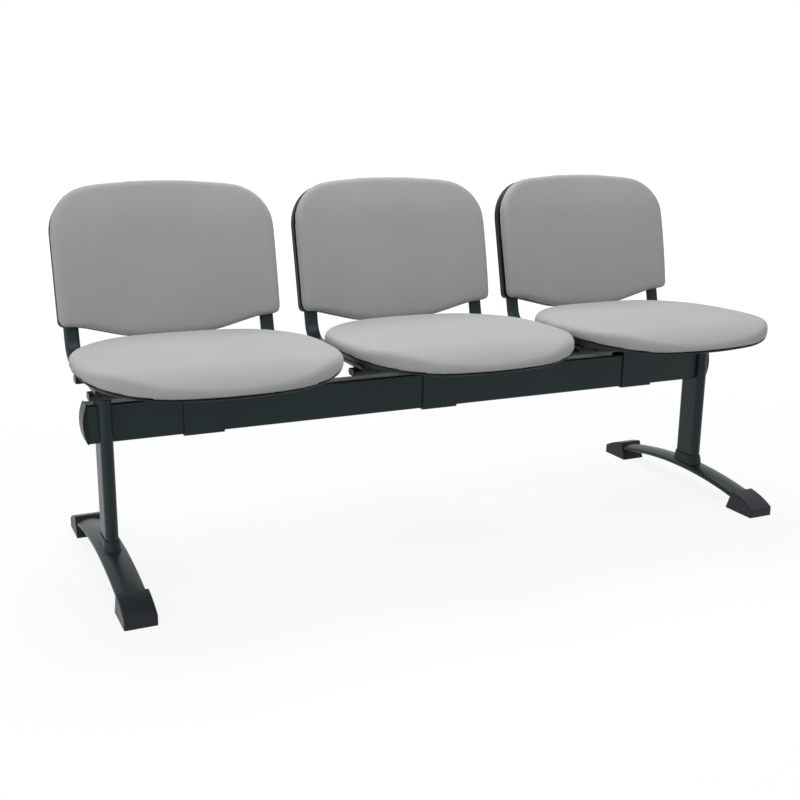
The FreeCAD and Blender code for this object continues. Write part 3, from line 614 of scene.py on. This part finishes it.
def swollen(mesh, held, settings):
    """Blow the cover up against its own tension and give the pad the bulge that it takes."""
    full = [point.co.copy() for point in mesh.vertices]
    normals = [point.normal.copy() for point in mesh.vertices]
    held = set(held)
    start = mesh.copy()
    for point, place, normal in zip(start.vertices, full, normals):
        if point.index not in held:
            point.co = place - normal * settings.slack
    piece = scratch_piece("cover", start)
    piece.vertex_groups.new(name="held").add(sorted(held), 1.0, "REPLACE")
    cloth = piece.modifiers.new("Cloth", "CLOTH")
    for name, value in COVER.items():
        setattr(cloth.settings, name, value)
    cloth.settings.uniform_pressure_force = settings.pressure
    cloth.settings.effector_weights.gravity = 0.0
    cloth.settings.vertex_group_mass = "held"
    cloth.collision_settings.use_collision = False
    cloth.point_cache.frame_start = 1
    cloth.point_cache.frame_end = BLOWING_FRAMES
    scene = bpy.context.scene
    for number in range(1, BLOWING_FRAMES + 1):
        scene.frame_set(number)
    blown = shaped_mesh(piece)
    scene.frame_set(1)
    bpy.data.objects.remove(piece)
    bulge = []
    for point, place, normal in zip(blown.vertices, full, normals):
        rise = 0.0 if point.index in held else (point.co - place).dot(normal)
        bulge.append(max(min(rise, settings.swell), 0.0))
    bulge = evened(bulge, mesh, held, settings.easing)
    for point, place, normal, rise in zip(mesh.vertices, full, normals, bulge):
        point.co = place + normal * rise


def evened(values, mesh, held, rounds):
    """Average each point's value with its neighbours', so that a bulge has no creases."""
    cover = bmesh.new()
    cover.from_mesh(mesh)
    beside = [[edge.other_vert(point).index for edge in point.link_edges] for point in cover.verts]
    cover.free()
    for _ in range(rounds):
        last = values
        values = [
            0.0 if number in held
            else (last[number] + sum(last[other] for other in near)) / (1 + len(near))
            for number, near in enumerate(beside)
        ]
    return values


def smoothed(mesh, held, rounds):
    """Ease the voxel steps out of the cover, except where it is held."""
    cover = bmesh.new()
    cover.from_mesh(mesh)
    held = set(held)
    free = [point for point in cover.verts if point.index not in held]
    for _ in range(rounds):
        bmesh.ops.smooth_vert(
            cover, verts=free, factor=0.5, use_axis_x=True, use_axis_y=True, use_axis_z=True
        )
    cover.to_mesh(mesh)
    cover.free()


def padded_form(node_name, holders, settings):
    """Mesh of one cushion: the CAD form, remeshed and blown up like a foam pad."""
    mesh = remeshed(node_name, settings.voxel)
    depths = foam_depths(mesh, holders)
    held = [number for number, depth in enumerate(depths) if depth < settings.held_reach]
    smoothed(mesh, held, SMOOTHING_ROUNDS)
    fit_hem(mesh, node_name, held, CORNER_REACH * settings.voxel)
    swollen(mesh, held, settings)
    return mesh


def work_surface(mesh, turn, hem_height, seed, settings):
    """Add broad unevenness and the gathers along the hem; turn lays the pad flat."""
    normals = [point.normal.copy() for point in mesh.vertices]
    for point, normal in zip(mesh.vertices, normals):
        flat = turn @ point.co
        broad = noise.noise(point.co * SWELLS + Vector((seed, 0.0, 0.0)))
        lift = settings.unevenness * broad
        above_hem = flat.z - hem_height
        reach = 1.0 - min(abs(above_hem) / settings.gather_reach, 1.0)
        side = 1.0 - abs((turn.to_3x3() @ normal).z)
        crease = noise.noise(Vector((flat.x, flat.y, seed)) / settings.gather_width)
        lift += settings.gather_depth * crease * reach * max(side, 0.0)
        point.co = point.co + normal * lift


def map_cloth(mesh, turn):
    """Lay the weave over the pad as if the cloth were pulled down over its edges."""
    flats = [turn @ point.co for point in mesh.vertices]
    top = max(flat.z for flat in flats)
    places = []
    for point, flat in zip(mesh.vertices, flats):
        normal = turn.to_3x3() @ point.normal
        outward = Vector((normal.x, normal.y))
        fold = (1.0 - normal.z) * (top - flat.z)
        if outward.length > 0.001:  # a level spot has no outward side
            outward.normalize()
        places.append(Vector((flat.x, flat.y)) + outward * fold)
    cloth = mesh.uv_layers.new(name="cloth")
    for loop in mesh.loops:
        cloth.data[loop.index].uv = places[loop.vertex_index]


def finish_pad(name, mesh, turn, hem_height, seed, material, node_name, settings):
    """Turn a cushion's mesh into its piece."""
    work_surface(mesh, turn, hem_height, seed, settings)
    map_cloth(mesh, turn)
    for polygon in mesh.polygons:
        polygon.use_smooth = True
    piece = new_piece(name, mesh, material)
    fine = piece.modifiers.new("Fine", "SUBSURF")
    fine.levels = 1
    fine.render_levels = 1
    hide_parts(node_name)
    return piece


def moved_copy(mesh, step):
    """The same pad at another seat of the row."""
    copy = mesh.copy()
    copy.transform(Matrix.Translation(step))
    return copy


def fabric():
    """The cover's material, made when it is first asked for."""
    return bpy.data.materials.get("woven_polyester") or woven_polyester(
        bpy.context.scene.bench_upholstery
    )


def seat_step(number):
    """Vector from the middle seat to another."""
    return Vector((centre_x("seat_%d_cushion" % number) - centre_x("seat_2_cushion"), 0.0, 0.0))


def centre_x(node_name):
    """Middle of a CAD node along the row."""
    low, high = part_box(node_name)
    return (low.x + high.x) / 2


class BENCH_OT_seat_cushions(bpy.types.Operator):
    """Make the three padded seats"""

    bl_idname = "bench.seat_cushions"
    bl_label = "Seat Cushions"

    def execute(self, context):
        settings = context.scene.bench_upholstery
        form = padded_form("seat_2_cushion", ("seat_2_board", "seat_2_shell"), settings)
        hem_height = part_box("seat_2_shell")[1].z
        for number in SEAT_NUMBERS:
            mesh = moved_copy(form, seat_step(number))
            finish_pad(
                "seat_pad_%d" % number, mesh, Matrix.Identity(4), hem_height, float(number),
                fabric(), "seat_%d_cushion" % number, settings,
            )
        return {"FINISHED"}


def back_turn():
    """Turn that lays a leaning backrest flat, front side up, found from its board."""
    board = node_form("back_2_board")
    facing = Vector()
    for face in board.faces:
        if face.normal.y < 0:
            facing += face.normal * face.calc_area()
    board.free()
    facing.x = 0.0
    return facing.rotation_difference(Vector((0.0, 0.0, 1.0))).to_matrix().to_4x4()


def thin_top(mesh, turn, holders, settings):
    """Let a back pad grow thinner towards its top edge in one long curve."""
    depths = foam_depths(mesh, holders)
    flats = [turn @ point.co for point in mesh.vertices]
    start = max(flat.y for flat in flats) - settings.top_reach
    forward = turn.inverted().to_3x3() @ Vector((0.0, 0.0, 1.0))
    for point, flat, depth in zip(mesh.vertices, flats, depths):
        share = max(flat.y - start, 0.0) / settings.top_reach
        point.co = point.co - forward * settings.top_fall * share**2 * depth / max(depths)


class BENCH_OT_back_cushions(bpy.types.Operator):
    """Make the three padded backrests"""

    bl_idname = "bench.back_cushions"
    bl_label = "Back Cushions"

    def execute(self, context):
        settings = context.scene.bench_upholstery
        turn = back_turn()
        holders = ("back_2_board", "back_2_shell")
        form = padded_form("back_2_cushion", holders, settings)
        thin_top(form, turn, holders, settings)
        hem_height = min((turn @ point.co).z for point in form.vertices)
        for number in SEAT_NUMBERS:
            mesh = moved_copy(form, seat_step(number))
            finish_pad(
                "back_pad_%d" % number, mesh, turn, hem_height, 10.0 + number, fabric(),
                "back_%d_cushion" % number, settings,
            )
        return {"FINISHED"}


class BENCH_OT_painted_steel(bpy.types.Operator):
    """Finish the beam, brackets, legs and seat frames"""

    bl_idname = "bench.painted_steel"
    bl_label = "Painted Steel"

    def execute(self, context):
        dress(nodes_of_slot("frame_paint"), powder_coat(context.scene.bench_hard_finish))
        return {"FINISHED"}


class BENCH_OT_plastics(bpy.types.Operator):
    """Finish the shells, shoes, collars and plugs"""

    bl_idname = "bench.plastics"
    bl_label = "Plastics"

    def execute(self, context):
        settings = context.scene.bench_hard_finish
        grain = settings.grain
        shell = moulded_plastic("grained_polypropylene", settings.shell, grain, 0.5)
        foot = moulded_plastic("moulded_nylon", settings.foot, grain, 0.42)
        plug = moulded_plastic("smooth_polyethylene", settings.plug, 0.5 * grain, 0.38)
        dress(nodes_of_slot("shell_plastic"), shell)
        dress(nodes_of_slot("foot_plastic"), foot)
        dress(nodes_of_slot("plug_plastic"), plug)
        return {"FINISHED"}


class BENCH_OT_boards_and_screws(bpy.types.Operator):
    """Finish the plywood boards and the screws"""

    bl_idname = "bench.boards_and_screws"
    bl_label = "Boards and Screws"

    def execute(self, context):
        settings = context.scene.bench_hard_finish
        dress(nodes_of_slot("board_wood"), beech_plywood(settings))
        dress(nodes_of_slot("fastener_zinc"), zinc_plate(settings))
        return {"FINISHED"}


# Welds

BEAD_SIDES = 10
RINGS_PER_RIPPLE = 2
FEWEST_RINGS = 4
# Thickness of a bead at its ends and between two ripples, as shares of its full thickness
END_SHARE = 0.45
VALLEY_SHARE = 0.86
# How soon a bead reaches its full thickness; a higher number is sooner
END_RISE = 6.0
# Distance of a weld from the corners of its flange, in bead radii
FLANGE_MARGIN = 5


def add_bead(welds, start, end, settings):
    """One rippled bead from a start to an end, closed at both ends."""
    way = end - start
    ripples = int(way.length / settings.ripple)
    count = max(ripples * RINGS_PER_RIPPLE, FEWEST_RINGS)
    turn = way.to_track_quat("Z", "Y").to_matrix()
    ring = bmesh.ops.create_circle(
        welds, cap_ends=False, segments=BEAD_SIDES, radius=settings.bead
    )
    loop = ring["verts"]
    bmesh.ops.rotate(welds, verts=loop, cent=(0, 0, 0), matrix=turn)
    bmesh.ops.translate(welds, verts=loop, vec=start)
    centre = start.copy()
    first = list(loop)
    size = END_SHARE
    bmesh.ops.scale(welds, verts=loop, vec=(size,) * 3, space=Matrix.Translation(-centre))
    edges = list({edge for point in loop for edge in point.link_edges})
    for number in range(1, count + 1):
        made = bmesh.ops.extrude_edge_only(welds, edges=edges)["geom"]
        loop = [item for item in made if isinstance(item, bmesh.types.BMVert)]
        edges = [item for item in made if isinstance(item, bmesh.types.BMEdge)]
        bmesh.ops.translate(welds, verts=loop, vec=way / count)
        centre = centre + way / count
        share = number / count
        body = min(1.0, END_RISE * min(share, 1.0 - share) + END_SHARE)
        wanted = body * (1.0 if number % RINGS_PER_RIPPLE else VALLEY_SHARE)
        bmesh.ops.scale(
            welds, verts=loop, vec=(wanted / size,) * 3, space=Matrix.Translation(-centre)
        )
        size = wanted
    for ends in (first, loop):
        bmesh.ops.contextual_create(welds, geom=ends)


class BENCH_OT_weld_beads(bpy.types.Operator):
    """Make the weld beads between tubes, arms and bracket flanges"""

    bl_idname = "bench.weld_beads"
    bl_label = "Weld Beads"

    def execute(self, context):
        settings = context.scene.bench_welds
        paint = bpy.data.materials["powder_coat"]
        margin = FLANGE_MARGIN * settings.bead
        for number in SEAT_NUMBERS:
            welds = bmesh.new()
            flange_low, flange_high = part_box("beam_bracket_%d" % number)
            for end in TUBE_ENDS:
                low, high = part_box("cross_tube_%d_%s" % (number, end))
                middle = (low.y + high.y) / 2
                flat = (high.y - low.y - (high.z - low.z)) / 2
                spread = flat + settings.bead
                for way in (-1, 1):
                    y = middle + way * spread
                    start = Vector((flange_low.x + margin, y, low.z))
                    finish = Vector((flange_high.x - margin, y, low.z))
                    add_bead(welds, start, finish, settings)
                for side in SIDES:
                    arm_low, arm_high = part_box("upright_%d_%s" % (number, side))
                    arm_middle = (arm_low.x + arm_high.x) / 2
                    for way in (-1, 1):
                        x = arm_middle + way * spread
                        start = Vector((x, middle - flat, high.z))
                        finish = Vector((x, middle + flat, high.z))
                        add_bead(welds, start, finish, settings)
            bmesh.ops.recalc_face_normals(welds, faces=welds.faces)
            mesh = bpy.data.meshes.new("welds_%d" % number)
            welds.to_mesh(mesh)
            welds.free()
            for polygon in mesh.polygons:
                polygon.use_smooth = True
            new_piece("welds_%d" % number, mesh, paint)
        return {"FINISHED"}


# Studio

# Name, place, width and height of each lamp
LAMPS = (
    ("key", (0.2, 0.9, 2.5), (2.4, 1.4)),
    ("front", (0.0, -1.6, 2.6), (2.4, 1.4)),
    ("side", (-2.6, -0.6, 1.0), (1.0, 1.8)),
)
LAMPS_TARGET = (0.0, 0.0, 0.4)
SENSOR_WIDTH = 36.0
FLOOR_REACH = 60.0
# The floor is this white, from 0 to 1, as far as the first distance and wholly from the second
NEAR_WHITE = 0.8
NEAR_DISTANCE = 1.0
FAR_DISTANCE = 4.0
FLOOR_GLOW = 1.1


def seen_directly(tree_owner):
    """Socket that is 1 for what the camera sees, mirrored or through glass, and 0 otherwise."""
    path = add_node(tree_owner, "ShaderNodeLightPath")
    seen = path.outputs["Is Camera Ray"]
    for kind in ("Is Glossy Ray", "Is Transmission Ray"):
        both = add_node(
            tree_owner, "ShaderNodeMath", {0: seen, 1: path.outputs[kind]}, operation="MAXIMUM"
        )
        seen = both.outputs[0]
    return seen


def add_lamp(name, place, size, power):
    """A rectangular lamp that shines at the bench."""
    lamp = bpy.data.lights.new(name, "AREA")
    lamp.shape = "RECTANGLE"
    lamp.size, lamp.size_y = size
    lamp.energy = power
    holder = bpy.data.objects.new(name, lamp)
    holder.location = place
    aim = Vector(LAMPS_TARGET) - Vector(place)
    holder.rotation_euler = aim.to_track_quat("-Z", "Y").to_euler()
    bpy.context.scene.collection.objects.link(holder)


class BENCH_OT_studio(bpy.types.Operator):
    """Make the floor, the lamps and the camera"""

    bl_idname = "bench.studio"
    bl_label = "Studio"

    def execute(self, context):
        settings = context.scene.bench_studio
        self.make_floor(settings)
        self.make_surround(settings)
        powers = (settings.key_power, settings.front_power, settings.side_power)
        for (name, place, size), power in zip(LAMPS, powers):
            add_lamp(name, place, size, power)
        self.make_camera(settings)
        context.scene.view_settings.view_transform = "Standard"
        return {"FINISHED"}

    def make_floor(self, settings):
        """A pale floor that keeps soft shadows near the bench and is plain white far off."""
        plane = bmesh.new()
        bmesh.ops.create_grid(plane, x_segments=1, y_segments=1, size=FLOOR_REACH)
        mesh = bpy.data.meshes.new("floor")
        plane.to_mesh(mesh)
        plane.free()
        floor = bpy.data.objects.new("floor", mesh)
        bpy.context.scene.collection.objects.link(floor)
        material, shader = new_material("studio_floor")
        set_inputs(
            material, shader, {"Base Color": opaque(settings.floor_colour), "Roughness": 0.9}
        )
        white = add_node(
            material, "ShaderNodeEmission", {"Color": (1, 1, 1, 1), "Strength": FLOOR_GLOW}
        )
        place = add_node(material, "ShaderNodeTexCoord")
        reach = add_node(
            material, "ShaderNodeVectorMath", {0: place.outputs["Object"]}, operation="LENGTH"
        )
        whiteness = add_node(
            material, "ShaderNodeMapRange",
            {"Value": reach.outputs["Value"], "From Min": NEAR_DISTANCE,
             "From Max": FAR_DISTANCE, "To Min": NEAR_WHITE, "To Max": 1.0},
            interpolation_type="SMOOTHSTEP",
        )
        share = add_node(
            material, "ShaderNodeMath",
            {0: seen_directly(material), 1: whiteness.outputs["Result"]}, operation="MULTIPLY",
        )
        mix = add_node(
            material, "ShaderNodeMixShader",
            {0: share.outputs[0], 1: shader.outputs[0], 2: white.outputs[0]},
        )
        output = material.node_tree.nodes["Material Output"]
        material.node_tree.links.new(mix.outputs[0], output.inputs["Surface"])
        mesh.materials.append(material)

    def make_surround(self, settings):
        """White to the camera and in reflections, softer as a source of light."""
        world = bpy.data.worlds.new("studio")
        world.use_nodes = True
        bpy.context.scene.world = world
        background = world.node_tree.nodes["Background"]
        background.inputs["Color"].default_value = (1, 1, 1, 1)
        strength = add_node(
            world, "ShaderNodeMapRange",
            {"Value": seen_directly(world), "To Min": settings.surround, "To Max": 1.0},
        )
        world.node_tree.links.new(strength.outputs["Result"], background.inputs["Strength"])

    def make_camera(self, settings):
        """The camera, at the place and angle that the photograph was taken from."""
        lens = bpy.data.cameras.new("camera")
        lens.lens = settings.lens
        lens.sensor_width = SENSOR_WIDTH
        camera = bpy.data.objects.new("camera", lens)
        aim = Euler((math.pi / 2 - settings.dip, 0.0, -settings.turn)).to_matrix()
        aim = aim @ Matrix.Rotation(settings.roll, 3, "Z")
        camera.matrix_world = Matrix.Translation(settings.camera_place) @ aim.to_4x4()
        bpy.context.scene.collection.objects.link(camera)
        bpy.context.scene.camera = camera


class BENCH_PT_panel(bpy.types.Panel):
    """Buttons that make the bench's pieces"""

    bl_idname = "BENCH_PT_panel"
    bl_label = "Beam Seating"
    bl_space_type = "VIEW_3D"
    bl_region_type = "UI"
    bl_category = "Bench"

    def draw(self, context):
        for operator in OPERATORS:
            self.layout.operator(operator.bl_idname)


OPERATORS = (
    BENCH_OT_painted_steel,
    BENCH_OT_plastics,
    BENCH_OT_boards_and_screws,
    BENCH_OT_weld_beads,
    BENCH_OT_seat_cushions,
    BENCH_OT_back_cushions,
    BENCH_OT_studio,
)
SETTINGS = {
    "bench_upholstery": UpholsterySettings,
    "bench_hard_finish": HardFinishSettings,
    "bench_welds": WeldSettings,
    "bench_studio": StudioSettings,
}


def register():
    for group in SETTINGS.values():
        bpy.utils.register_class(group)
    for name, group in SETTINGS.items():
        setattr(bpy.types.Scene, name, bpy.props.PointerProperty(type=group))
    for operator in OPERATORS:
        bpy.utils.register_class(operator)
    bpy.utils.register_class(BENCH_PT_panel)


def unregister():
    bpy.utils.unregister_class(BENCH_PT_panel)
    for operator in reversed(OPERATORS):
        bpy.utils.unregister_class(operator)
    for name in SETTINGS:
        delattr(bpy.types.Scene, name)
    for group in reversed(SETTINGS.values()):
        bpy.utils.unregister_class(group)


def main():
    register()
    bpy.ops.bench.painted_steel()
    bpy.ops.bench.plastics()
    bpy.ops.bench.boards_and_screws()
    bpy.ops.bench.weld_beads()
    bpy.ops.bench.seat_cushions()
    bpy.ops.bench.back_cushions()
    bpy.ops.bench.studio()


if __name__ == "__main__":
    main()
